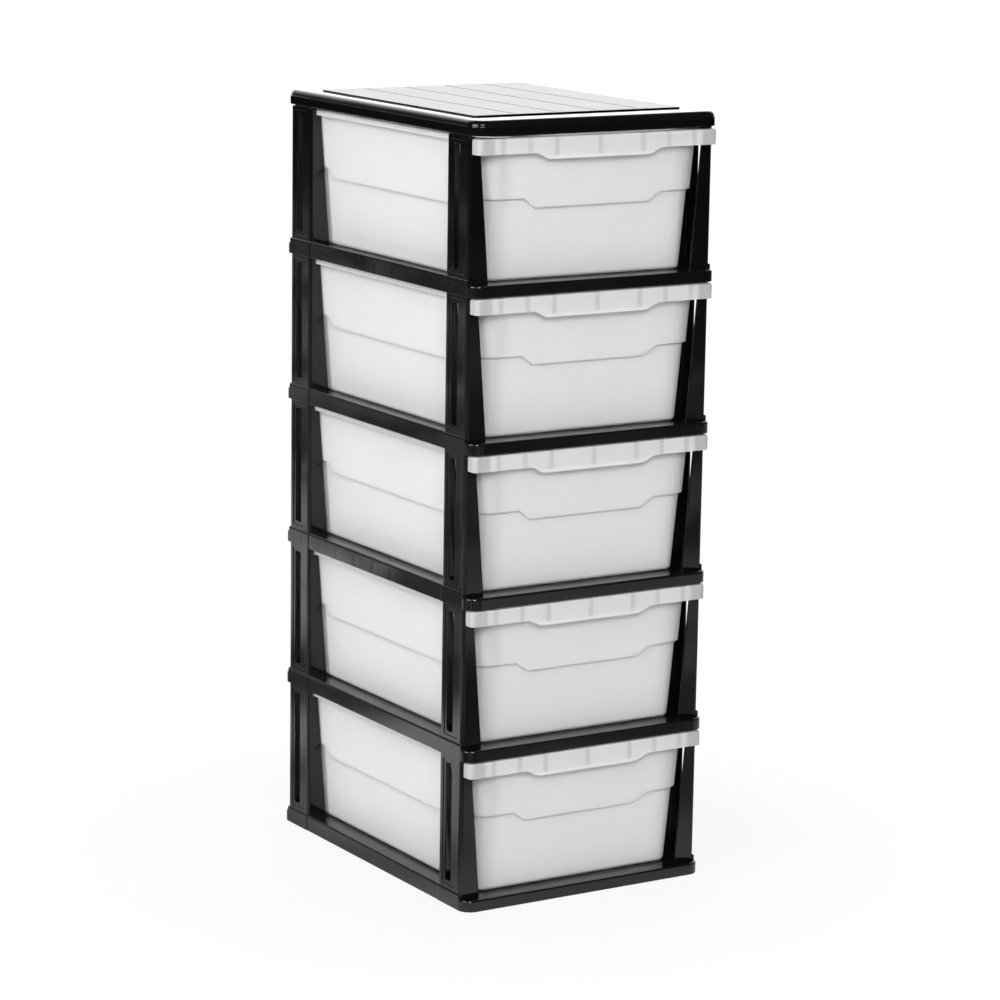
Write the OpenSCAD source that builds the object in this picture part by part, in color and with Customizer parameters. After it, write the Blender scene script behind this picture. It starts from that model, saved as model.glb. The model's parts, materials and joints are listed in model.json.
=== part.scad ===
// Stacking drawer tower: drafted see-through drawers in a frame of shelf halves,
// channel posts and one top panel.
// Z is up, the origin is on the floor at the middle of the footprint, and the
// drawers pull out towards -Y. The left posts and the front shelf halves are
// modelled; the right posts and the rear halves are the same mouldings turned
// half a turn.

/* [Tower] */
// Overall width, over the side rails
tower_w = 290; // [260:5:400]
// Overall depth, over the front and rear rails
tower_d = 390; // [340:5:500]
// Height from the foot of one shelf to the foot of the next
tier_pitch = 157; // [130:1:200]
// Number of drawers, one to a tier
drawer_count = 5; // [2:1:7]

/* [Shelf halves] */
// Radius of the shelf's outer corners
shelf_corner_r = 14; // [8:1:18]
// Height of the rails, whose deck carries the posts and the drawer
rail_h = 12; // [10:0.5:14]
// Height of the lip along the outside of the side rails
lip_h = 17; // [16:0.5:22]
// Depth of the front rail's deck
front_rail_deep = 45; // [38:1:60]
// Width of the side rail's deck
side_rail_wide = 50; // [42:1:60]
// Wall of the shelf and top panel mouldings
rail_wall = 2.5; // [2:0.1:3]
// Rounding of the shelf's outer top edge
rail_edge_r = 2; // [0.6:0.1:2]
// How deep the side rails lie behind the corner blocks
side_relief = 0.6; // [0.3:0.1:1]
// Thickness of the stiffening ribs under the decks
rib_t = 1.8; // [1.2:0.1:2.4]
// How far the ribs stop above the foot of the rail
rib_lift = 2; // [1:0.5:4]
// Spacing of the ribs along the rails
rib_pitch = 38; // [30:1:50]
// From the brim's outer edge to the rib that closes over it
closing_in = 1.5; // [0.5:0.1:2]
// Width of the tab that joins two shelf halves
tab_w = 20; // [12:1:28]
// Thickness of the joining tab
tab_t = 3; // [2:0.1:4]
// Reach of the joining tab into the other half
tab_reach = 14; // [8:1:20]
// From the underside of the deck to the joining tab
tab_drop = 1.5; // [0.5:0.5:2.5]

/* [Posts] */
// Size of a post along the tower's depth
post_deep = 42.5; // [38:0.5:50]
// From the front of the rail to the front of the post
post_setback = 13; // [10:0.5:16]
// From the side of the rail to the post's side plate
post_inset = 1; // [0.5:0.1:1.5]
// Wall of the post moulding
post_wall = 2.5; // [2:0.1:3]
// Radius of the post's outer edges
post_corner_r = 3.5; // [3.5:0.5:8]
// Width of the web at the post's foot
web_foot_w = 23.2; // [20:0.2:26]
// Width of the long slot in the side plate
slot_w = 12; // [9:0.5:15]
// From the plate's rear edge to the slot
slot_edge = 11.5; // [9:0.5:12.5]
// From each end of the side plate to the slot
slot_end = 8; // [6:0.5:14]
// Width of the raised border round the sunk panel
border_w = 7.5; // [6:0.5:8.5]
// Depth of the sunk panel in the side plate
panel_sink = 0.8; // [0.4:0.1:1.2]
// Corner radius of the slot and the sunk panel
slot_r = 2; // [1:0.5:4]
// Width of the locating tongues on the webs' feet
tongue_w = 12; // [8:0.5:14]
// Length of the locating tongues on the webs' feet
tongue_l = 8; // [5:0.5:9]
// From the post's plate to the locating tongues
tongue_in = 8; // [6:0.5:9]
// Length along the depth of the tongue at the post's head
head_tongue_w = 28; // [16:1:30]
// Thickness of the tongue at the post's head
head_tongue_t = 2.5; // [2:0.1:3]

/* [Drawers] */
// Slope of the drawer's walls and of the post webs, in degrees
draft = 4.6; // [3:0.1:5.5]
// Wall and floor of the drawer
drawer_wall = 2; // [1.6:0.1:2.6]
// Radius of the drawer's vertical corners at its floor
drawer_corner_r = 10; // [7:0.5:14]
// Rounding between floor and walls
drawer_foot_r = 4.5; // [3:0.5:6]
// How far the lower walls step in
step_in = 3.5; // [2:0.1:4.5]
// Depth of the step below the brim at the corners
step_drop = 61; // [40:1:70]
// Extra depth of the step along the middle of each wall
step_dip = 9.8; // [5:0.2:14]
// From a wall's end to the start of the dip
step_run = 50.5; // [40:0.5:60]
// Length of the dip's slanted ends
step_ramp = 13.5; // [8:0.5:20]
// Width of the brim round the sides and back
brim_w = 5.5; // [4:0.1:6]
// Height of the brim's turned-down edge
brim_h = 5.5; // [4:0.1:7]
// Thickness of the brim and the grip
brim_t = 1.8; // [1.4:0.1:2.2]
// Depth of the grip from the drawer's front wall
grip_deep = 7.5; // [6:0.5:10]
// From the side of the rail to the end of the grip
grip_end_in = 4; // [2.5:0.1:4.5]
// Height of the grip at its ends
grip_h = 15.5; // [13:0.5:22]
// Extra height of the grip in the middle
grip_dip = 6.5; // [3:0.5:9]
// Half the length of the grip's deeper middle
grip_mid = 60; // [40:1:75]
// Length of the slope between the two grip heights
grip_ramp = 13; // [6:1:16]
// Radius of the grip's ends
grip_end_r = 5; // [3:0.5:6]
// Rounding of the grip's top edge
grip_top_r = 2.5; // [2:0.1:3]
// Distance from the middle to the first pair of ribs in the grip
grip_rib_first = 51; // [40:1:56]
// Spacing of the outer ribs in the grip
grip_rib_pitch = 31; // [24:1:34]
// How far the ribs stop above the grip's lower edge
grip_rib_lift = 3.5; // [2:0.5:6]

/* [Top panel] */
// Height of the top panel without its raised field
top_h = 15; // [13:0.5:18]
// How far the top panel's skirt stands clear of the posts
top_seat = 1.5; // [0.5:0.5:2.5]
// Radius of the top panel's corners
top_corner_r = 17; // [14:1:22]
// Rounding of the top panel's upper edge
top_edge_r = 5.5; // [3:0.5:6]
// Inward step half way up the skirt
top_step = 0.4; // [0.2:0.1:0.8]
// Height of the raised field
field_h = 1.3; // [0.8:0.1:2]
// From the panel's side to the raised field
field_side = 22.5; // [18:0.5:30]
// From the panel's front to the raised field
field_front = 40; // [24:1:60]
// Corner radius of the raised field
field_r = 3; // [1:0.5:6]
// Number of strips that the grooves divide the field into
field_strips = 5; // [3:1:7]
// Width of a groove
groove_w = 1.6; // [1:0.1:3]
// Depth of a groove
groove_deep = 1; // [0.5:0.1:1.5]
// From the field's edge to a groove's end
groove_end = 6.5; // [4:0.5:15]

/* [Fits] */
// Running gap between drawer and deck
slide_gap = 0.3; // [0.2:0.1:0.6]
// Gap between the drawer's brim and the rail above
head_gap = 1.5; // [1:0.1:3]
// Gap between the drawer's walls and the post webs
side_gap = 1.2; // [0.8:0.1:2]
// Gap under and beside the brim where it passes the post webs
brim_gap = 1; // [0.6:0.1:1.5]
// Gap between the closed drawer's grip and the posts
stop_gap = 0.3; // [0.2:0.1:0.6]
// From the rear of the rail to the drawer's rear wall at its top
rear_gap = 11; // [8:1:20]
// Clearance of tongues and tabs in their seats
fit_gap = 0.3; // [0.2:0.05:0.4]
// Gap left at the seam of two shelf halves
seam_gap = 0.6; // [0.2:0.1:0.8]

/* [Hidden] */
FRAME_COLOR = [0.09, 0.09, 0.095];
DRAWER_COLOR = [0.9, 0.91, 0.92, 0.75];
CORNERS = ["front_left", "rear_left", "rear_right", "front_right"];
TIERS = [1:drawer_count];
$fn = 64;
cut = 1;                                   // how far cutting bodies run past a face
arc_steps = 5;                             // segments in a small rounded edge
slope = tan(draft);

// Places on the drawer's curved walls keep to hundredths, so that flat and turned
// faces meet without slivers
function even(v) = round(v * 100) / 100;

half_w = tower_w / 2;
half_d = tower_d / 2;

// Post, seen from the tower's front left: its plate and its two ends
post_x = half_w - post_inset;
post_y = half_d - post_setback;
post_rear_y = post_y - post_deep;
foot_in = rail_wall - post_inset + fit_gap; // first line inside the shelf's skirt
seat_x = post_x - foot_in - head_tongue_t - fit_gap;

// Shelf: the inner edges of its decks, and the underside of the deck
deck_x = half_w - side_rail_wide;
deck_y = half_d - front_rail_deep;
deck_z = rail_h - rail_wall;
tab_x = (deck_x + half_w) / 2 - tab_w / 2;
tab_z = deck_z - tab_drop - tab_t;

// Drawer, in its own height from its floor
drawer_z = rail_h + slide_gap;
drawer_h = tier_pitch - head_gap - drawer_z;
brim_half_w = even(post_x - web_foot_w - side_gap + slope * drawer_h);
notch_in = post_x - (brim_half_w + brim_w + brim_gap);
notch_h = head_gap + brim_h + brim_gap;
rise = even(slope * drawer_h + step_in);
front_y = -half_d + grip_deep;             // outer face of the front wall at the brim
rear_y = half_d - rear_gap;
mid_y = even((front_y + rear_y) / 2);
brim_half_d = even((rear_y - front_y) / 2);
axis_x = brim_half_w - rise - drawer_corner_r;
axis_y = brim_half_d - rise - drawer_corner_r;
brim_corner_r = drawer_corner_r + rise;
step_z = drawer_h - step_drop;
dip_z = step_z - step_dip;
wall_run = even(drawer_wall / cos(draft)); // wall measured level, across the draft
grip_half_w = half_w - grip_end_in;
grip_back_y = -post_y - stop_gap;
grip_ribs = [0, grip_rib_first, grip_rib_first + grip_rib_pitch, grip_rib_first + 2 * grip_rib_pitch];

top_z = drawer_count * tier_pitch;

// A block with rounded corners whose edge follows one profile: the profile's points
// are [distance from the corner's axis, height], from the middle of the foot round to
// the middle of the top, and the corner axes stand at (+-ax, +-ay).
module profiled_block(ax, ay, profile) {
    last = len(profile) - 1;
    flat_x = concat(
        [for (p = profile) [ax + p[0], p[1]]],
        [for (i = [last:-1:0]) [-ax - profile[i][0], profile[i][1]]]
    );
    flat_y = concat(
        [for (p = profile) [ay + p[0], p[1]]],
        [for (i = [last:-1:0]) [-ay - profile[i][0], profile[i][1]]]
    );
    translate([0, ay, 0])
        rotate([90, 0, 0])
            linear_extrude(2 * ay)
                polygon(flat_x);
    translate([-ax, 0, 0])
        rotate([90, 0, 90])
            linear_extrude(2 * ax)
                polygon(flat_y);
    for (x = [-ax, ax], y = [-ay, ay])
        translate([x, y, 0])
            rotate_extrude()
                polygon(profile);
}

// The same block given by its overall size and corner radius, for an upright edge
// that is rounded at the top
module rounded_block(w, d, r, h, edge_r) {
    profiled_block(w / 2 - r, d / 2 - r, concat(
        [[0, 0], [r, 0]],
        edge_arc([r - edge_r, h - edge_r], edge_r, 0, 90),
        [[0, h]]
    ));
}

module plain_block(w, d, r, h) {
    profiled_block(w / 2 - r, d / 2 - r, [[0, 0], [r, 0], [r, h], [0, h]]);
}

function edge_arc(centre, r, from, to) = [
    for (i = [0:arc_steps])
        let (a = from + (to - from) * i / arc_steps)
            [even(centre[0] + r * cos(a)), even(centre[1] + r * sin(a))]
];

// A flat outline with round corners, drawn from its lower left corner
module rounded_outline(w, h, r) {
    translate([r, 0])
        square([w - 2 * r, h]);
    translate([0, r])
        square([w, h - 2 * r]);
    for (x = [r, w - r], y = [r, h - r])
        translate([x, y])
            circle(r);
}

// A box between two corners
module span(from, to) {
    translate(from)
        cube(to - from);
}

module on_both_sides() {
    children();
    mirror([1, 0, 0])
        children();
}

// ---- Shelf half ----

// Plan of the half ring as a block, or set in by a wall
module ring_area(inset, h) {
    seam = inset > 0 ? inset + seam_gap / 2 : 0;
    span([-half_w - cut, -half_d - cut, -cut], [half_w + cut, -deck_y - inset, h]);
    on_both_sides()
        span([deck_x + inset, -half_d - cut, -cut], [half_w + cut, -seam, h]);
}

// Lip along a stretch of the side rails
module side_lip(from_y, to_y, inset) {
    intersection() {
        rounded_block(tower_w - 2 * inset, tower_d, shelf_corner_r, lip_h, rail_edge_r);
        on_both_sides()
            span([half_w - rail_wall, from_y, 0], [half_w + cut, to_y, lip_h + cut]);
    }
}

module shelf_outer() {
    intersection() {
        rounded_block(tower_w, tower_d, shelf_corner_r, rail_h, rail_edge_r);
        ring_area(0, rail_h + cut);
    }
    side_lip(-post_y, -post_rear_y, 0);
    side_lip(-post_rear_y, 0, side_relief);
}

module shelf_hollow() {
    intersection() {
        translate([0, 0, -cut])
            plain_block(
                tower_w - 2 * rail_wall, tower_d - 2 * rail_wall,
                shelf_corner_r - rail_wall, deck_z + cut
            );
        ring_area(rail_wall, deck_z);
    }
}

// Ribs under the decks, with one more on the line of each inner skirt
module shelf_ribs() {
    front_count = floor((deck_x - rib_t) / rib_pitch);
    side_count = floor((deck_y - rib_t) / rib_pitch);
    corner_x = deck_x + rail_wall / 2;
    corner_y = -deck_y - rail_wall / 2;
    for (x = concat([-corner_x, corner_x], [for (i = [-front_count:front_count]) i * rib_pitch]))
        span(
            [x - rib_t / 2, -half_d + rail_wall, rib_lift],
            [x + rib_t / 2, -deck_y - rail_wall, deck_z]
        );
    on_both_sides() {
        for (i = [1:side_count])
            span(
                [deck_x + rail_wall, -i * rib_pitch - rib_t / 2, rib_lift],
                [half_w - rail_wall, -i * rib_pitch + rib_t / 2, deck_z]
            );
        // this one stops at the seat of the head tongue
        span(
            [deck_x + rail_wall, corner_y - rib_t / 2, rib_lift],
            [seat_x, corner_y + rib_t / 2, deck_z]
        );
    }
}

// Walls that hold the head tongue of the post below, from height low up to the deck
module head_seats(low, h) {
    middle = -post_y + post_deep / 2;
    reach = head_tongue_w / 2 + fit_gap;
    for (y = [middle - reach - rib_t, middle + reach])
        span([seat_x - rib_t, y, low], [half_w - rail_wall, y + rib_t, h]);
    span([seat_x - rib_t, middle - reach - rib_t, low], [seat_x, middle + reach + rib_t, h]);
}

// Rib that follows the drawer's brim and keeps dust out of the drawer below
module closing_rib(low, h) {
    w = 2 * (brim_half_w + brim_w - closing_in);
    d = 2 * (rear_y + brim_w - closing_in);
    r = brim_corner_r + brim_w - closing_in;
    translate([0, 0, low])
        difference() {
            plain_block(w, d, r, h - low);
            translate([0, 0, -cut])
                plain_block(w - 2 * rib_t, d - 2 * rib_t, r - rib_t, h - low + 2 * cut);
        }
}

// Openings for the tongues on the foot of a post
module foot_slots() {
    for (y = [-post_y, -post_rear_y - post_wall])
        span(
            [post_x - tongue_in - tongue_w - fit_gap, y - fit_gap, rail_h - tongue_l - fit_gap],
            [post_x - tongue_in + fit_gap, y + post_wall + fit_gap, rail_h + cut]
        );
}

module shelf_half() {
    difference() {
        union() {
            difference() {
                shelf_outer();
                shelf_hollow();
            }
            shelf_ribs();
            closing_rib(0, deck_z);
            on_both_sides()
                head_seats(0, deck_z);
        }
        on_both_sides()
            foot_slots();
        span([-half_w - cut, -seam_gap / 2, -cut], [half_w + cut, half_d, lip_h + cut]);
        side_reliefs(lip_h);
        // seat of the other half's tab
        span(
            [tab_x - fit_gap, -2 * rail_wall, tab_z - fit_gap],
            [tab_x + tab_w + fit_gap, cut, tab_z + tab_t + fit_gap]
        );
    }
    // tab, on a root behind the seam wall
    span(
        [-tab_x - tab_w, -rail_wall - seam_gap / 2, tab_z],
        [-tab_x, tab_reach, tab_z + tab_t]
    );
}

// Shallow relief along the side faces between the corner blocks
module side_reliefs(h) {
    on_both_sides()
        span(
            [half_w - side_relief, -post_rear_y, -cut],
            [half_w + cut, post_rear_y, h + cut]
        );
}

module shelf(level, half) {
    color(FRAME_COLOR)
        translate([0, 0, (level - 1) * tier_pitch])
            rotate(half == "rear" ? 180 : 0)
                shelf_half();
}

// ---- Post ----

// The post stands with its side plate at x = 0 and its front at y = 0; x runs
// inwards and z is the height above the shelf's foot
module post_web_outline() {
    notch_z = tier_pitch - notch_h;
    polygon([
        [foot_in, rail_h],
        [web_foot_w, rail_h],
        [web_foot_w - slope * (notch_z - rail_h), notch_z],
        [notch_in, notch_z],
        [notch_in, tier_pitch],
        [0, tier_pitch],
        [0, lip_h],
        [foot_in, lip_h]
    ]);
}

// Plan of a post with round outer edges, grown inwards far enough for the webs
module post_plan(inset) {
    r = post_corner_r - inset;
    far = web_foot_w + cut;
    translate([inset + r, inset])
        square([far, post_deep - 2 * inset]);
    translate([inset, inset + r])
        square([far, post_deep - 2 * (inset + r)]);
    for (y = [inset + r, post_deep - inset - r])
        translate([inset + r, y])
            circle(r);
}

module post() {
    plate_h = tier_pitch - lip_h;
    middle = post_deep / 2;
    difference() {
        intersection() {
            translate([0, post_deep, 0])
                rotate([90, 0, 0])
                    linear_extrude(post_deep)
                        post_web_outline();
            linear_extrude(tier_pitch + cut)
                post_plan(0);
        }
        translate([0, 0, -cut])
            linear_extrude(tier_pitch + 3 * cut)
                post_plan(post_wall);
        // the long slot
        translate([-cut, post_deep - slot_edge - slot_w, lip_h + slot_end])
            rotate([90, 0, 90])
                linear_extrude(post_wall + 2 * cut)
                    rounded_outline(slot_w, plate_h - 2 * slot_end, slot_r);
        // the sunk panel round it
        translate([-cut, border_w, lip_h + slot_end / 2])
            rotate([90, 0, 90])
                linear_extrude(panel_sink + cut)
                    rounded_outline(post_deep - 2 * border_w, plate_h - slot_end, slot_r);
    }
    // tongues on the webs' feet
    for (y = [0, post_deep - post_wall])
        span(
            [tongue_in, y, rail_h - tongue_l],
            [tongue_in + tongue_w, y + post_wall, rail_h]
        );
    // tongue at the head, inside the skirt of the moulding above
    span(
        [foot_in, middle - head_tongue_w / 2, tier_pitch - slot_end + slot_r],
        [foot_in + head_tongue_t, middle + head_tongue_w / 2, tier_pitch + deck_z - fit_gap]
    );
}

module left_post(level, end) {
    y = end == "front" ? -post_y : post_rear_y;
    translate([-post_x, y, (level - 1) * tier_pitch])
        post();
}

module corner_post(level, corner) {
    color(FRAME_COLOR) {
        if (corner == "front_left")
            left_post(level, "front");
        if (corner == "rear_left")
            left_post(level, "rear");
        if (corner == "rear_right")
            rotate(180)
                left_post(level, "front");
        if (corner == "front_right")
            rotate(180)
                left_post(level, "rear");
    }
}

// ---- Drawer ----

// Profile of the drawer's lower body: a rounded foot and one drafted wall. An inset
// of one wall gives the inside.
function lower_profile(inset, floor_z) =
    let (
        r = drawer_corner_r - (inset > 0 ? wall_run : 0),
        foot_r = drawer_foot_r - inset,
        centre = [r + slope * (floor_z + foot_r) - foot_r / cos(draft), floor_z + foot_r]
    )
    concat(
        [[0, floor_z]],
        edge_arc(centre, foot_r, -90, -draft),
        [[even(r + slope * (drawer_h + inset)), drawer_h + inset], [0, drawer_h + inset]]
    );

// Profile of the upper body, which stands out by the step
function upper_profile(inset) =
    let (r = drawer_corner_r + step_in - (inset > 0 ? wall_run : 0))
    [
        [0, dip_z],
        [even(r + slope * dip_z), dip_z],
        [even(r + slope * (drawer_h + inset)), drawer_h + inset],
        [0, drawer_h + inset]
    ];

// Everything above the step line, which dips along the middle of each wall
module above_step(lift) {
    dip_x = brim_half_w - step_run;
    dip_y = brim_half_d - step_run;
    reach_x = brim_half_w + cut;
    reach_y = brim_half_d + cut;
    translate([0, 0, lift]) {
        span([-reach_x, -reach_y, step_z], [reach_x, reach_y, drawer_h + cut]);
        translate([0, reach_y, 0])
            rotate([90, 0, 0])
                linear_extrude(2 * reach_y)
                    dip_outline(dip_x);
        translate([-reach_x, 0, 0])
            rotate([90, 0, 90])
                linear_extrude(2 * reach_x)
                    dip_outline(dip_y);
    }
}

module dip_outline(half_run) {
    polygon([
        [-half_run, step_z + cut],
        [-half_run, step_z],
        [-half_run + step_ramp, dip_z],
        [half_run - step_ramp, dip_z],
        [half_run, step_z],
        [half_run, step_z + cut]
    ]);
}

module drawer_outer() {
    profiled_block(axis_x, axis_y, lower_profile(0, 0));
    intersection() {
        profiled_block(axis_x, axis_y, upper_profile(0));
        above_step(0);
    }
}

module drawer_cavity() {
    profiled_block(axis_x, axis_y, lower_profile(drawer_wall, drawer_wall));
    intersection() {
        profiled_block(axis_x, axis_y, upper_profile(drawer_wall));
        above_step(drawer_wall);
    }
}

// Turned-down brim along the sides and back
module brim() {
    w = 2 * (brim_half_w + brim_w);
    d = 2 * (brim_half_d + brim_w);
    r = brim_corner_r + brim_w;
    difference() {
        translate([0, 0, drawer_h - brim_h])
            rounded_block(w, d, r, brim_h, brim_t / 2);
        translate([0, 0, drawer_h - brim_h - cut])
            plain_block(w - 2 * brim_t, d - 2 * brim_t, r - brim_t, brim_h - brim_t + cut);
        span([-w, -d, 0], [w, grip_back_y - mid_y, drawer_h + cut]);
    }
}

// Lower edge of the grip, deeper in the middle, as the area to cut away
module grip_cut_outline() {
    far = half_w + cut;
    low = -grip_h - grip_dip;
    polygon([
        [-far, low - cut],
        [-far, -grip_h],
        [-grip_mid - grip_ramp, -grip_h],
        [-grip_mid, low],
        [grip_mid, low],
        [grip_mid + grip_ramp, -grip_h],
        [far, -grip_h],
        [far, low - cut]
    ]);
}

// Full-width grip: a hollow lip hanging in front of the drawer's front wall
module grip() {
    full_h = grip_h + grip_dip;
    front = -half_d - mid_y;
    back = grip_back_y - mid_y;
    d = 4 * grip_end_r + 4 * grip_deep;
    difference() {
        translate([0, front + d / 2, drawer_h - full_h])
            rounded_block(2 * grip_half_w, d, grip_end_r, full_h, grip_top_r);
        translate([0, front + d / 2, drawer_h - full_h - cut])
            plain_block(
                2 * (grip_half_w - brim_t), d - 2 * brim_t,
                grip_end_r - brim_t, full_h - brim_t + cut
            );
        span([-tower_w, back, -cut], [tower_w, back + d, drawer_h + cut]);
        translate([0, back, drawer_h])
            rotate([90, 0, 0])
                linear_extrude(back - front + cut)
                    grip_cut_outline();
    }
    for (x = grip_ribs, side = [-1, 1])
        if (x > 0 || side > 0)
            grip_rib(side * x, front);
}

module grip_rib(x, front) {
    low = abs(x) < grip_mid ? grip_h + grip_dip : grip_h;
    span(
        [x - rib_t / 2, front + brim_t / 2, drawer_h - low + grip_rib_lift],
        [x + rib_t / 2, front + grip_deep + drawer_wall, drawer_h - brim_t / 2]
    );
}

module drawer_body() {
    difference() {
        union() {
            drawer_outer();
            brim();
            grip();
        }
        drawer_cavity();
    }
}

module drawer(level) {
    color(DRAWER_COLOR)
        translate([0, mid_y, (level - 1) * tier_pitch + drawer_z])
            drawer_body();
}

// ---- Top panel ----

function top_profile() =
    let (
        r = top_corner_r,
        step_top = top_h - top_edge_r - top_step
    )
    concat(
        [[0, 0], [r, 0], [r, step_top - top_step], [r - top_step, step_top]],
        edge_arc([r - top_step - top_edge_r, top_h - top_edge_r], top_edge_r, 0, 90),
        [[0, top_h]]
    );

module field_grooves(w, d) {
    pitch = w / field_strips;
    for (i = [1:field_strips - 1])
        translate([i * pitch - w / 2 - groove_w / 2, -d / 2 + groove_end, top_h + field_h - groove_deep])
            linear_extrude(groove_deep + cut)
                rounded_outline(groove_w, d - 2 * groove_end, groove_w / 2.5);
}

module top_ribs(ceiling_z) {
    pitch = (tower_w - 2 * field_side) / field_strips;
    count = floor(field_strips / 2);
    end_y = post_rear_y - rail_wall;
    for (i = [-count:count])
        span(
            [i * pitch - rib_t / 2, -half_d + rail_wall, rib_lift],
            [i * pitch + rib_t / 2, half_d - rail_wall, ceiling_z]
        );
    for (y = [-end_y, 0, end_y])
        span(
            [-half_w + rail_wall, y - rib_t / 2, rib_lift],
            [half_w - rail_wall, y + rib_t / 2, ceiling_z]
        );
}

module top_panel() {
    w = tower_w - 2 * field_side;
    d = tower_d - 2 * field_front;
    ceiling_z = top_h - rail_wall;
    color(FRAME_COLOR)
        translate([0, 0, top_z + top_seat]) {
            difference() {
                union() {
                    profiled_block(half_w - top_corner_r, half_d - top_corner_r, top_profile());
                    translate([-w / 2, -d / 2, top_h - cut])
                        linear_extrude(field_h + cut)
                            rounded_outline(w, d, field_r);
                }
                translate([0, 0, -cut])
                    plain_block(
                        tower_w - 2 * rail_wall, tower_d - 2 * rail_wall,
                        top_corner_r - rail_wall, ceiling_z + cut
                    );
                field_grooves(w, d);
                side_reliefs(top_h - top_edge_r - 2 * top_step - cut);
            }
            top_ribs(ceiling_z);
            closing_rib(-top_seat, ceiling_z);
            // the seats stand on the posts, past the skirt
            for (turn = [0, 180])
                rotate(turn)
                    on_both_sides()
                        head_seats(-top_seat, ceiling_z);
        }
}

top_panel();
for (i = TIERS)
    drawer(i);
for (i = TIERS, half = ["front", "rear"])
    shelf(i, half);
for (i = TIERS, corner = CORNERS)
    corner_post(i, corner);
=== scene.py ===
# A tower of five frosted drawers in a gloss black frame, on a plain white studio floor.
import json
import math
import bpy
from mathutils import Matrix, Vector


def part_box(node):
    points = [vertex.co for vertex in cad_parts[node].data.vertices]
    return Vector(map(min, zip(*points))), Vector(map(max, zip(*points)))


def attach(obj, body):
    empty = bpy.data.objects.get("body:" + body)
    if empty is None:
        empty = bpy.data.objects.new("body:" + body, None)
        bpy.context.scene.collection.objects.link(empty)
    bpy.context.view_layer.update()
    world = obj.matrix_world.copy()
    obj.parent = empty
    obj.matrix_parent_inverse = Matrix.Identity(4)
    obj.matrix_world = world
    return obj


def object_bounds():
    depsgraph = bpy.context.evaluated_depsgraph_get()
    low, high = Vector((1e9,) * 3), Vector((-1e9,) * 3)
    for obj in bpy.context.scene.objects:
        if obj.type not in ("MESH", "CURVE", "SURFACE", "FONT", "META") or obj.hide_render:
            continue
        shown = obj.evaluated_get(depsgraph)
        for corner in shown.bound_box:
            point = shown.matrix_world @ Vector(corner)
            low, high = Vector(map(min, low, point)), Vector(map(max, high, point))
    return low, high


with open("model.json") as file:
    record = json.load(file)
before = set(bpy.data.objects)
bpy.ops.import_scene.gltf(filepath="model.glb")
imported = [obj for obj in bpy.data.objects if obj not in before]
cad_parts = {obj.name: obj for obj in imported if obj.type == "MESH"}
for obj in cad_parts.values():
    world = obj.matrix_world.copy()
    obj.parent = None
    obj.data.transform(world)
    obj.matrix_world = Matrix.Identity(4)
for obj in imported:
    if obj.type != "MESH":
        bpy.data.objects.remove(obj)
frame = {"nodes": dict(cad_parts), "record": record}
cadLow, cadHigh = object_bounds()
nodes = frame["nodes"]
print("frame loaded:", len(nodes), "CAD nodes")

mm = 0.001
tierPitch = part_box("shelf_front_2")[0][2]  # the second ring stands one tier up
edgeSamples = 4  # rays that find the rounded edges
softly = {"interpolation_type": "SMOOTHSTEP"}
# A colour Mix takes its factor at socket 0 and its colours at 6 and 7, and gives output 2.
# A number Mix takes its numbers at 2 and 3, and gives output 0.
asColour = {"data_type": "RGBA"}
asNumber = {"data_type": "FLOAT"}


def hexColour(text):
    # sRGB hex to the linear colour that a shader socket takes
    channels = [int(text[i:i + 2], 16) / 255 for i in (0, 2, 4)]
    linear = [c / 12.92 if c <= 0.04045 else ((c + 0.055) / 1.055) ** 2.4 for c in channels]
    return (*linear, 1.0)


def addNode(tree, kind, settings=None, values=None, links=None):
    # settings are the node's own fields, values its plain sockets, links its fed sockets
    node = tree.nodes.new(kind)
    for name, value in (settings or {}).items():
        setattr(node, name, value)
    for socket, value in (values or {}).items():
        node.inputs[socket].default_value = value
    for socket, source in (links or {}).items():
        tree.links.new(source, node.inputs[socket])
    return node


def newMaterial(name):
    # an empty node tree, ready for a shader
    material = bpy.data.materials.new(name)
    material.use_nodes = True
    material.node_tree.nodes.clear()
    return material, material.node_tree


# Gloss black polypropylene, injection moulded in polished steel. The eye sees a deep black that
# mirrors the room at a slant, soft at the edges, with a slow waviness where the walls have sunk.
frameValues = {
    "black": "070708",
    "worn": "0D0D0E",
    "cloud": 45 * mm,  # patches of slightly greyer pigment
    "ior": 1.49,
    "roughness": (0.04, 0.10),  # from a clean patch to a handled one
    "smear": 7.5 * mm,  # the size of those patches
    "peel": 6 * mm,  # waviness of the skin
    "peelHeight": 0.012 * mm,
    "bow": 55 * mm,  # the slow bow of a cooled wall
    "bowHeight": 0.4 * mm,
    "edge": 0.9 * mm,  # the rounding that a mould leaves on every edge
    "fieldFrom": 0.75 * mm,  # the raised field's texture ends this far under the very top
    "fieldRoughness": 0.18,  # what that texture adds
    "weldHigh": 85 * mm,  # height in a tier at which the plastic met behind each slot
    "weldWide": 1.4 * mm,
    "weldDeep": 0.12 * mm,
    "weldSkin": 0.5 * mm,  # how far under a post's outer face the line still reaches
    "sinkPitch": 38 * mm,  # the ribs behind the rails, each with a faint hollow in front of it
    "sinkWide": 16 * mm,
    "sinkDeep": 0.035 * mm,
    "sinkBelow": 11.7 * mm,  # height in a tier up to which the rails reach
}


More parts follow.
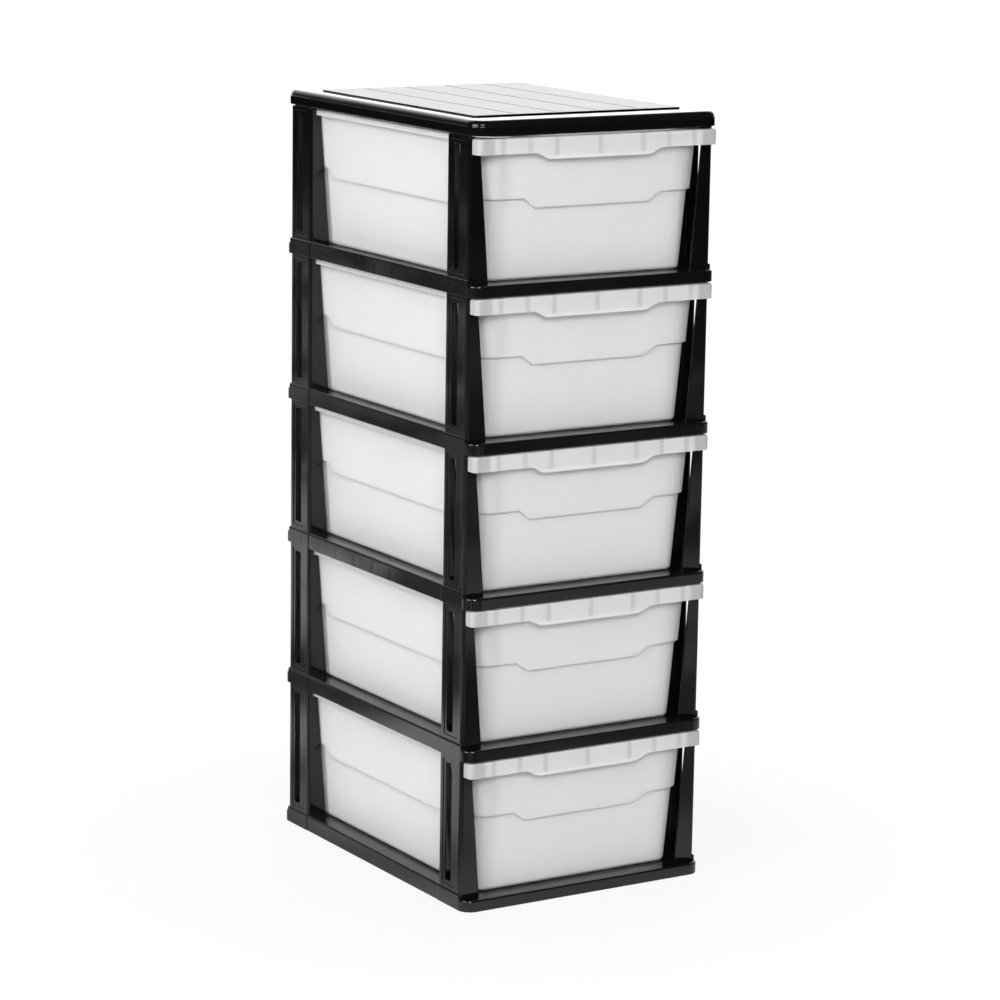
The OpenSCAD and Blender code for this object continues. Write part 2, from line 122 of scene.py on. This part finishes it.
def weldLines(tree, axes, inTier, v):
    # 1 along a thin level line on the outside of every post, 0 elsewhere
    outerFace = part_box("post_front_right_1")[1][0] - v["weldSkin"]
    onLine = addNode(tree, "ShaderNodeMath", {"operation": "COMPARE"}, {
        1: v["weldHigh"], 2: v["weldWide"] / 2}, {0: inTier})
    across = addNode(tree, "ShaderNodeMath", {"operation": "ABSOLUTE"}, links={0: axes.outputs["X"]})
    outside = addNode(tree, "ShaderNodeMath", {"operation": "GREATER_THAN"}, {1: outerFace}, {
        0: across.outputs[0]})
    line = addNode(tree, "ShaderNodeMath", {"operation": "MULTIPLY"}, links={
        0: onLine.outputs[0], 1: outside.outputs[0]})
    return line.outputs[0]


def sinkMarks(tree, axes, inTier, v):
    # 1 in front of every rib behind the rails, fading to 0 between them
    lines = []
    for axis in ("X", "Y"):
        off = addNode(tree, "ShaderNodeMath", {"operation": "PINGPONG"}, {1: v["sinkPitch"] / 2}, {
            0: axes.outputs[axis]})
        lines.append(addNode(tree, "ShaderNodeMapRange", softly, {
            "From Min": 0.0, "From Max": v["sinkWide"] / 2, "To Min": 1.0, "To Max": 0.0}, {
            "Value": off.outputs[0]}).outputs["Result"])
    either = addNode(tree, "ShaderNodeMath", {"operation": "MAXIMUM"}, links={0: lines[0], 1: lines[1]})
    onRail = addNode(tree, "ShaderNodeMath", {"operation": "LESS_THAN"}, {1: v["sinkBelow"]}, {0: inTier})
    marks = addNode(tree, "ShaderNodeMath", {"operation": "MULTIPLY"}, links={
        0: either.outputs[0], 1: onRail.outputs[0]})
    return marks.outputs[0]


def mouldedSkin(tree, place, axes, v):
    # rounded edges, bowed walls and a fine peel, with the sink marks and weld lines in them
    rounded = addNode(tree, "ShaderNodeBevel", {"samples": edgeSamples}, {"Radius": v["edge"]})
    bow = addNode(tree, "ShaderNodeTexNoise", values={
        "Scale": 1 / v["bow"], "Detail": 0.0}, links={"Vector": place})
    bowed = addNode(tree, "ShaderNodeBump", values={"Distance": v["bowHeight"]}, links={
        "Height": bow.outputs["Fac"], "Normal": rounded.outputs["Normal"]})
    peel = addNode(tree, "ShaderNodeTexNoise", values={
        "Scale": 1 / v["peel"], "Detail": 1.0}, links={"Vector": place})
    skin = addNode(tree, "ShaderNodeBump", values={"Distance": v["peelHeight"]}, links={
        "Height": peel.outputs["Fac"], "Normal": bowed.outputs["Normal"]})
    inTier = addNode(tree, "ShaderNodeMath", {"operation": "WRAP"}, {1: tierPitch, 2: 0.0}, {
        0: axes.outputs["Z"]}).outputs[0]
    sunk = addNode(tree, "ShaderNodeBump", {"invert": True}, {"Distance": v["sinkDeep"]}, {
        "Height": sinkMarks(tree, axes, inTier, v), "Normal": skin.outputs["Normal"]})
    welded = addNode(tree, "ShaderNodeBump", {"invert": True}, {"Distance": v["weldDeep"]}, {
        "Height": weldLines(tree, axes, inTier, v), "Normal": sunk.outputs["Normal"]})
    return welded.outputs["Normal"]


def glossBlackPolypropylene():
    v = frameValues
    material, tree = newMaterial("glossBlackPolypropylene")
    place = addNode(tree, "ShaderNodeTexCoord").outputs["Object"]
    axes = addNode(tree, "ShaderNodeSeparateXYZ", links={"Vector": place})
    cloud = addNode(tree, "ShaderNodeTexNoise", values={
        "Scale": 1 / v["cloud"], "Detail": 3.0}, links={"Vector": place})
    colour = addNode(tree, "ShaderNodeMix", asColour, {
        6: hexColour(v["black"]), 7: hexColour(v["worn"])}, {0: cloud.outputs["Fac"]})
    smears = addNode(tree, "ShaderNodeTexNoise", values={
        "Scale": 1 / v["smear"], "Detail": 5.0}, links={"Vector": place})
    smeared = addNode(tree, "ShaderNodeMapRange", values={
        "To Min": v["roughness"][0], "To Max": v["roughness"][1]}, links={"Value": smears.outputs["Fac"]})
    onField = addNode(tree, "ShaderNodeMath", {"operation": "GREATER_THAN"}, {
        1: cadHigh[2] - v["fieldFrom"]}, {0: axes.outputs["Z"]})
    roughness = addNode(tree, "ShaderNodeMath", {"operation": "MULTIPLY_ADD"}, {1: v["fieldRoughness"]}, {
        0: onField.outputs[0], 2: smeared.outputs["Result"]})
    shader = addNode(tree, "ShaderNodeBsdfPrincipled", values={"IOR": v["ior"]}, links={
        "Base Color": colour.outputs[2],
        "Roughness": roughness.outputs[0],
        "Normal": mouldedSkin(tree, place, axes, v)})
    addNode(tree, "ShaderNodeOutputMaterial", links={"Surface": shader.outputs["BSDF"]})
    return material


# Natural polypropylene, injection moulded in a finely spark-eroded tool. It is milky: light goes
# through it blurred, so what stands behind it shows as a soft grey shade, and thick parts are whiter.
# The grey in front of the ribs, on the grip, at its ends and at the corners is painted shade in the colour.
drawerValues = {
    "milk": "FBFBFB",
    "cloudy": "F6F6F6",
    "flow": 16 * mm,  # bands that the plastic left as it rose up the walls
    "flowUp": 0.12,  # below 1 the bands are drawn out upwards
    "ior": 1.49,
    "roughness": (0.40, 0.50),
    "cloud": 38 * mm,  # patches of duller and clearer skin
    "grain": 1.6 * mm,  # the eroded texture is finer, and is drawn coarse enough to show
    "grainHeight": 0.012 * mm,
    "edge": 0.4 * mm,
    "through": 0.45,  # the share of light that passes, blurred by the roughness
    "glow": 0.15,  # the share of the whole that passes scattered, so that a lit wall lights the inside
    "ribs": (0.0, 51 * mm, 82 * mm, 113 * mm),  # where the ribs stand behind the grip, each way
    "ribShade": 5.5 * mm,  # how wide a rib shows through the face
    "ribFade": 2.5 * mm,  # how wide each side of its shade fades
    # painted shade of the ribs, seen through the grip's face
    "paintedRibShade": "E2E2E2",
    "ribsAbove": 137 * mm,  # in a tier, between the ribs' lower ends and the rim
    "ribsBefore": 186.5 * mm,  # how far from the middle the hollow grip starts
    "grip": "F2F2F2",  # the hollow grip, which less light reaches from behind
    # painted shade at the grip's open ends
    "gripEndShade": "D8D8D8",
    "gripEndFrom": (121 * mm, 125 * mm),  # from the middle to the open ends of the grip
    "cornered": "DCDCDC",  # the corners, which the posts keep light from
    "cornerFrom": (90 * mm, 122 * mm),
    "cornerBeyond": 160 * mm,  # how far to the front or back the corners start
}


def ribShades(tree, across, v):
    # 1 in front of every rib behind the grip, 0 between them
    nearest = None
    for rib in v["ribs"]:
        past = addNode(tree, "ShaderNodeMath", {"operation": "SUBTRACT"}, {1: rib}, {0: across})
        off = addNode(tree, "ShaderNodeMath", {"operation": "ABSOLUTE"}, links={0: past.outputs[0]})
        if nearest:
            off = addNode(tree, "ShaderNodeMath", {"operation": "MINIMUM"}, links={
                0: nearest, 1: off.outputs[0]})
        nearest = off.outputs[0]
    band = addNode(tree, "ShaderNodeMapRange", softly, {
        "From Min": (v["ribShade"] - v["ribFade"]) / 2, "From Max": (v["ribShade"] + v["ribFade"]) / 2,
        "To Min": 1.0, "To Max": 0.0}, {"Value": nearest})
    return band.outputs["Result"]


def gripColour(tree, across, v):
    # painted shade: greyer in front of the ribs, and greyest at the open ends
    face = addNode(tree, "ShaderNodeMix", asColour, {6: hexColour(v["grip"]), 7: hexColour(v["paintedRibShade"])}, {
        0: ribShades(tree, across, v)})
    end = addNode(tree, "ShaderNodeMapRange", softly, {
        "From Min": v["gripEndFrom"][0], "From Max": v["gripEndFrom"][1]}, {"Value": across})
    ended = addNode(tree, "ShaderNodeMix", asColour, {7: hexColour(v["gripEndShade"])}, {
        0: end.outputs["Result"], 6: face.outputs[2]})
    return ended.outputs[2]


def wallColour(tree, place, across, axes, v):
    # milky, with faint bands upwards, and greyer at the corners
    drawnOut = addNode(tree, "ShaderNodeMapping", values={"Scale": (1.0, 1.0, v["flowUp"])}, links={
        "Vector": place})
    flow = addNode(tree, "ShaderNodeTexNoise", values={"Scale": 1 / v["flow"]}, links={
        "Vector": drawnOut.outputs["Vector"]})
    plain = addNode(tree, "ShaderNodeMix", asColour, {6: hexColour(v["milk"]), 7: hexColour(v["cloudy"])}, {
        0: flow.outputs["Fac"]})
    corner = addNode(tree, "ShaderNodeMapRange", softly, {
        "From Min": v["cornerFrom"][0], "From Max": v["cornerFrom"][1]}, {"Value": across})
    depth = addNode(tree, "ShaderNodeMath", {"operation": "ABSOLUTE"}, links={0: axes.outputs["Y"]})
    farOut = addNode(tree, "ShaderNodeMath", {"operation": "GREATER_THAN"}, {1: v["cornerBeyond"]}, {
        0: depth.outputs[0]})
    inCorner = addNode(tree, "ShaderNodeMath", {"operation": "MULTIPLY"}, links={
        0: corner.outputs["Result"], 1: farOut.outputs[0]})
    walls = addNode(tree, "ShaderNodeMix", asColour, {7: hexColour(v["cornered"])}, {
        0: inCorner.outputs[0], 6: plain.outputs[2]})
    return walls.outputs[2]


def drawerColour(tree, place, v):
    # the walls' colour, with the grip's painted shade above its ribs' lower ends and ahead of the walls
    axes = addNode(tree, "ShaderNodeSeparateXYZ", links={"Vector": place})
    across = addNode(tree, "ShaderNodeMath", {"operation": "ABSOLUTE"}, links={
        0: axes.outputs["X"]}).outputs[0]
    inTier = addNode(tree, "ShaderNodeMath", {"operation": "WRAP"}, {1: tierPitch, 2: 0.0}, {
        0: axes.outputs["Z"]})
    high = addNode(tree, "ShaderNodeMath", {"operation": "GREATER_THAN"}, {1: v["ribsAbove"]}, {
        0: inTier.outputs[0]})
    ahead = addNode(tree, "ShaderNodeMath", {"operation": "LESS_THAN"}, {1: -v["ribsBefore"]}, {
        0: axes.outputs["Y"]})
    onGrip = addNode(tree, "ShaderNodeMath", {"operation": "MULTIPLY"}, links={
        0: high.outputs[0], 1: ahead.outputs[0]})
    both = addNode(tree, "ShaderNodeMix", asColour, links={
        0: onGrip.outputs[0], 6: wallColour(tree, place, across, axes, v), 7: gripColour(tree, across, v)})
    return both.outputs[2]


def frostedPolypropylene():
    v = drawerValues
    material, tree = newMaterial("frostedPolypropylene")
    place = addNode(tree, "ShaderNodeTexCoord").outputs["Object"]
    colour = drawerColour(tree, place, v)
    cloud = addNode(tree, "ShaderNodeTexNoise", values={"Scale": 1 / v["cloud"]}, links={"Vector": place})
    roughness = addNode(tree, "ShaderNodeMapRange", values={
        "To Min": v["roughness"][0], "To Max": v["roughness"][1]}, links={"Value": cloud.outputs["Fac"]})
    rounded = addNode(tree, "ShaderNodeBevel", {"samples": edgeSamples}, {"Radius": v["edge"]})
    grain = addNode(tree, "ShaderNodeTexNoise", values={"Scale": 1 / v["grain"]}, links={"Vector": place})
    skin = addNode(tree, "ShaderNodeBump", values={"Distance": v["grainHeight"]}, links={
        "Height": grain.outputs["Fac"], "Normal": rounded.outputs["Normal"]})
    shader = addNode(tree, "ShaderNodeBsdfPrincipled", values={
        "IOR": v["ior"], "Transmission Weight": v["through"]}, links={
        "Base Color": colour,
        "Roughness": roughness.outputs["Result"],
        "Normal": skin.outputs["Normal"]})
    scattered = addNode(tree, "ShaderNodeBsdfTranslucent", links={"Color": colour})
    milky = addNode(tree, "ShaderNodeMixShader", values={0: v["glow"]}, links={
        1: shader.outputs["BSDF"], 2: scattered.outputs["BSDF"]})
    addNode(tree, "ShaderNodeOutputMaterial", links={"Surface": milky.outputs[0]})
    return material


def dressNodes():
    finishes = {"frame_plastic": glossBlackPolypropylene(), "drawer_plastic": frostedPolypropylene()}
    for row in frame["record"]["subparts"]:
        for place in nodes[row["node"]].material_slots:
            place.link = "OBJECT"
            place.material = finishes[row["material_slot"]]
    return finishes


# Ejector pins push each drawer off its mould, and leave faint rings on the floor inside.
pinMarks = {
    "across": 3,  # rings in a row
    "along": 4,  # rows
    "wide": 150 * mm,  # between the outer rings' middles
    "long": 270 * mm,
    "ring": 4 * mm,  # radius of a ring
    "ringPoints": 28,
    "bead": 0.3 * mm,  # radius of its raised line
    "beadPoints": 6,
    "floorThick": 2 * mm,
}
pinMarkInputs = {
    "across": "Int", "along": "Int", "wide": "Float", "long": "Float", "ring": "Float", "bead": "Float",
    "ringPoints": "Int", "beadPoints": "Int", "middle": "Vector", "finish": "Material",
}


def pinMarkTree():
    tree = bpy.data.node_groups.new("pinMarks", "GeometryNodeTree")
    sockets = {}
    for name, kind in pinMarkInputs.items():
        socket = tree.interface.new_socket(name, in_out="INPUT", socket_type="NodeSocket" + kind)
        sockets[name] = socket.identifier
    tree.interface.new_socket("Geometry", in_out="OUTPUT", socket_type="NodeSocketGeometry")
    given = addNode(tree, "NodeGroupInput").outputs
    places = addNode(tree, "GeometryNodeMeshGrid", links={
        "Vertices X": given["across"], "Vertices Y": given["along"],
        "Size X": given["wide"], "Size Y": given["long"]})
    circle = addNode(tree, "GeometryNodeCurvePrimitiveCircle", links={
        "Resolution": given["ringPoints"], "Radius": given["ring"]})
    profile = addNode(tree, "GeometryNodeCurvePrimitiveCircle", links={
        "Resolution": given["beadPoints"], "Radius": given["bead"]})
    ring = addNode(tree, "GeometryNodeCurveToMesh", links={
        "Curve": circle.outputs["Curve"], "Profile Curve": profile.outputs["Curve"]})
    rings = addNode(tree, "GeometryNodeInstanceOnPoints", links={
        "Points": places.outputs["Mesh"], "Instance": ring.outputs["Mesh"]})
    placed = addNode(tree, "GeometryNodeTransform", links={
        "Geometry": rings.outputs["Instances"], "Translation": given["middle"]})
    real = addNode(tree, "GeometryNodeRealizeInstances", links={"Geometry": placed.outputs["Geometry"]})
    finished = addNode(tree, "GeometryNodeSetMaterial", links={
        "Geometry": real.outputs["Geometry"], "Material": given["finish"]})
    addNode(tree, "NodeGroupOutput", links={0: finished.outputs["Geometry"]})
    return tree, sockets


def plainPiece(name, tree, settings):
    # runs a node tree once and keeps what it makes as a plain mesh
    maker = bpy.data.objects.new(name + "Maker", bpy.data.meshes.new(name + "Maker"))
    bpy.context.scene.collection.objects.link(maker)
    modifier = maker.modifiers.new("maker", "NODES")
    modifier.node_group = tree
    for identifier, value in settings.items():
        modifier[identifier] = value
    mesh = bpy.data.meshes.new_from_object(maker.evaluated_get(bpy.context.evaluated_depsgraph_get()))
    bpy.data.objects.remove(maker)
    piece = bpy.data.objects.new(name, mesh)
    bpy.context.scene.collection.objects.link(piece)
    return piece


def makePinMarks(finish):
    v = pinMarks
    tree, sockets = pinMarkTree()
    drawers = sorted(name for name in nodes if name.startswith("drawer_"))
    for drawer in drawers:
        number = drawer.removeprefix("drawer_")
        low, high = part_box(drawer)
        middle = ((low[0] + high[0]) / 2, (low[1] + high[1]) / 2, low[2] + v["floorThick"])
        given = v | {"middle": middle, "finish": finish}
        piece = plainPiece("pinMarks" + number, tree, {
            sockets[name]: given[name] for name in pinMarkInputs})
        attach(piece, "drawer_body_" + number)
    print("pin marks in", len(drawers), "drawers")


# The floor is white paper. What the camera sees of it is lifted to plain white, less so close to
# the tower, where its shadow stays. Gloss sees a patchy gleam in its place.
studio = {
    "paper": "C8C8C8",
    "paperFar": "505050",
    "paperDim": (0.6, 3.6),  # metres from the tower over which the light on the paper fades
    "floorHalf": 12.0,  # metres
    "whiteNear": 0.86,  # how far the paper is lifted to white beside the tower
    "whiteFrom": (0.23, 0.5),  # metres from the tower over which the paper turns plain white
    "gleamAt": (-0.6, 0.9, 0.0),  # the gleam is brightest here, behind on the left
    "gleamNear": 0.5,  # what the bright spot adds to the wide one
    "gleamNearReach": 1.6,  # metres
    "gleamWide": 0.42,
    "gleamWideReach": (1.5, 7.0),  # metres over which the wide spot fades
    "gleamPatches": 0.5,  # metres, the darker and lighter patches of the room in the gloss
    "gleamEdge": (0.38, 0.62),  # the noise over which a dark patch turns into a light one
    "gleamRange": (0.2, 1.7),  # what a dark and a light patch make of the gleam
    "ambient": 0.3,  # the fill light from the room in front
    "ambientBehind": 2.2,  # the fill light from the lit backdrop
    "mirrored": 0.04,  # the dark room in front, which the black plastic mirrors
    "backdrop": 2.0,  # the lit backdrop behind, which it mirrors too
    "backdropSide": (0.42, 0.9, 0.0),
    "backdropEdge": (0.55, 0.85),  # cosine from that side at which the backdrop starts and is full
}


def whitePaper(tree, place, path, v):
    # the paper's own shader, and plain white in its place for the camera's rays
    away = addNode(tree, "ShaderNodeVectorMath", {"operation": "LENGTH"}, links={0: place}).outputs["Value"]
    dim = addNode(tree, "ShaderNodeMapRange", softly, {
        "From Min": v["paperDim"][0], "From Max": v["paperDim"][1]}, {"Value": away})
    paper = addNode(tree, "ShaderNodeMix", asColour, {
        6: hexColour(v["paper"]), 7: hexColour(v["paperFar"])}, {0: dim.outputs["Result"]})
    matt = addNode(tree, "ShaderNodeBsdfDiffuse", links={"Color": paper.outputs[2]})
    plain = addNode(tree, "ShaderNodeMapRange", softly, {
        "From Min": v["whiteFrom"][0], "From Max": v["whiteFrom"][1], "To Min": v["whiteNear"]}, {
        "Value": away})
    share = addNode(tree, "ShaderNodeMath", {"operation": "MULTIPLY"}, links={
        0: path.outputs["Is Camera Ray"], 1: plain.outputs["Result"]})
    white = addNode(tree, "ShaderNodeEmission", values={"Strength": 1.0})
    both = addNode(tree, "ShaderNodeMixShader", links={
        0: share.outputs[0], 1: matt.outputs[0], 2: white.outputs[0]})
    return both.outputs[0]


def patchyGleam(tree, place, v):
    # a soft bright spot within a wide dim one, uneven as a furnished room makes it
    spot = addNode(tree, "ShaderNodeVectorMath", {"operation": "DISTANCE"}, {1: v["gleamAt"]}, {0: place})
    close = addNode(tree, "ShaderNodeMapRange", softly, {
        "From Min": 0.0, "From Max": v["gleamNearReach"], "To Min": v["gleamNear"], "To Max": 0.0}, {
        "Value": spot.outputs["Value"]})
    wide = addNode(tree, "ShaderNodeMapRange", softly, {
        "From Min": v["gleamWideReach"][0], "From Max": v["gleamWideReach"][1],
        "To Min": v["gleamWide"], "To Max": 0.0}, {"Value": spot.outputs["Value"]})
    level = addNode(tree, "ShaderNodeMath", {"operation": "ADD"}, links={
        0: close.outputs["Result"], 1: wide.outputs["Result"]})
    patches = addNode(tree, "ShaderNodeTexNoise", values={
        "Scale": 1 / v["gleamPatches"], "Detail": 1.0}, links={"Vector": place})
    contrast = addNode(tree, "ShaderNodeMapRange", softly, {
        "From Min": v["gleamEdge"][0], "From Max": v["gleamEdge"][1],
        "To Min": v["gleamRange"][0], "To Max": v["gleamRange"][1]}, {"Value": patches.outputs["Fac"]})
    uneven = addNode(tree, "ShaderNodeMath", {"operation": "MULTIPLY"}, links={
        0: level.outputs[0], 1: contrast.outputs["Result"]})
    return addNode(tree, "ShaderNodeEmission", links={"Strength": uneven.outputs[0]}).outputs[0]


def buildFloor():
    v = studio
    half = v["floorHalf"]
    mesh = bpy.data.meshes.new("studioFloor")
    corners = [(-half, -half, 0), (half, -half, 0), (half, half, 0), (-half, half, 0)]
    mesh.from_pydata(corners, [], [(0, 1, 2, 3)])
    floor = bpy.data.objects.new("studioFloor", mesh)
    bpy.context.scene.collection.objects.link(floor)
    material, tree = newMaterial("whitePaper")
    place = addNode(tree, "ShaderNodeTexCoord").outputs["Object"]
    path = addNode(tree, "ShaderNodeLightPath")
    seen = addNode(tree, "ShaderNodeMixShader", links={
        0: path.outputs["Is Glossy Ray"],
        1: whitePaper(tree, place, path, v),
        2: patchyGleam(tree, place, v)})
    addNode(tree, "ShaderNodeOutputMaterial", links={"Surface": seen.outputs[0]})
    mesh.materials.append(material)


def buildWorld():
    v = studio
    world = bpy.data.worlds.new("whiteStudio")
    bpy.context.scene.world = world
    world.use_nodes = True
    tree = world.node_tree
    tree.nodes.clear()
    ray = addNode(tree, "ShaderNodeTexCoord").outputs["Generated"]
    facing = addNode(tree, "ShaderNodeVectorMath", {"operation": "DOT_PRODUCT"}, {1: v["backdropSide"]}, {
        0: ray})
    behind = addNode(tree, "ShaderNodeMapRange", softly, {
        "From Min": v["backdropEdge"][0], "From Max": v["backdropEdge"][1]}, {
        "Value": facing.outputs["Value"]}).outputs["Result"]
    fill = addNode(tree, "ShaderNodeMapRange", values={
        "To Min": v["ambient"], "To Max": v["ambientBehind"]}, links={"Value": behind})
    room = addNode(tree, "ShaderNodeMapRange", values={
        "To Min": v["mirrored"], "To Max": v["backdrop"]}, links={"Value": behind})
    path = addNode(tree, "ShaderNodeLightPath")
    seen = addNode(tree, "ShaderNodeMath", {"operation": "MAXIMUM"}, links={
        0: path.outputs["Is Camera Ray"], 1: path.outputs["Is Transmission Ray"]})
    white = addNode(tree, "ShaderNodeMix", asNumber, {3: 1.0}, {
        0: seen.outputs[0], 2: fill.outputs["Result"]})
    level = addNode(tree, "ShaderNodeMix", asNumber, links={
        0: path.outputs["Is Glossy Ray"], 2: white.outputs[0], 3: room.outputs["Result"]})
    sky = addNode(tree, "ShaderNodeBackground", values={"Color": (1, 1, 1, 1)}, links={
        "Strength": level.outputs[0]})
    addNode(tree, "ShaderNodeOutputWorld", links={"Surface": sky.outputs[0]})
    print("floor and world set")


lamps = {
    "softboxLeft": {"at": (-2.9, -0.7, 1.9), "size": (2.0, 2.0), "watts": 88, "aim": (0, 0, 0.4),
                    "mirrored": True},
    "softboxFront": {"at": (-1.7, -3.4, 2.5), "size": (1.6, 1.6), "watts": 155, "aim": (0, 0, 0.4),
                     "mirrored": True},
    "backdrop": {"at": (2.0, 3.4, 1.35), "size": (3.6, 2.6), "watts": 90, "aim": (0, 0, 0.6),
                 "mirrored": False},  # gloss sees the world's backdrop there instead
}


def buildLamps():
    for name, v in lamps.items():
        light = bpy.data.lights.new(name, "AREA")
        light.shape = "RECTANGLE"
        light.size, light.size_y = v["size"]
        light.energy = v["watts"]
        lamp = bpy.data.objects.new(name, light)
        lamp.location = v["at"]
        lamp.rotation_euler = (Vector(v["aim"]) - Vector(v["at"])).to_track_quat("-Z", "Y").to_euler()
        lamp.visible_camera = False
        lamp.visible_glossy = v["mirrored"]
        bpy.context.scene.collection.objects.link(lamp)
    print(len(lamps), "lamps set")


cameraView = {
    "place": (-1.9583, -3.1766, 1.1381),  # metres
    "azimuth": -31.783,  # degrees, the side that the camera stands on
    "elevation": 11.498,
    "roll": 0.905,
    "lens": 129.71,  # millimetres, as Blender's lenses are
    "sensor": 36.0,
    "clip": (0.1, 60.0),  # metres, the nearest and farthest that it sees
}


def placeCamera():
    v = cameraView
    azimuth, elevation, roll = (math.radians(v[name]) for name in ("azimuth", "elevation", "roll"))
    ahead = math.cos(elevation)
    back = Vector((math.sin(azimuth) * ahead, -math.cos(azimuth) * ahead, math.sin(elevation)))
    right = Vector((0, 0, 1)).cross(back).normalized()
    up = back.cross(right)
    turnedRight = right * math.cos(roll) + up * math.sin(roll)
    turnedUp = up * math.cos(roll) - right * math.sin(roll)
    data = bpy.data.cameras.new("camera")
    data.lens, data.sensor_width = v["lens"], v["sensor"]
    data.clip_start, data.clip_end = v["clip"]
    camera = bpy.data.objects.new("camera", data)
    turned = Matrix((turnedRight, turnedUp, back)).transposed().to_4x4()
    camera.matrix_world = Matrix.Translation(v["place"]) @ turned
    bpy.context.scene.collection.objects.link(camera)
    bpy.context.scene.camera = camera
    print("camera set")


finishes = dressNodes()
makePinMarks(finishes["drawer_plastic"])
buildFloor()
buildWorld()
buildLamps()
placeCamera()
bpy.context.scene.view_settings.view_transform = "Standard"
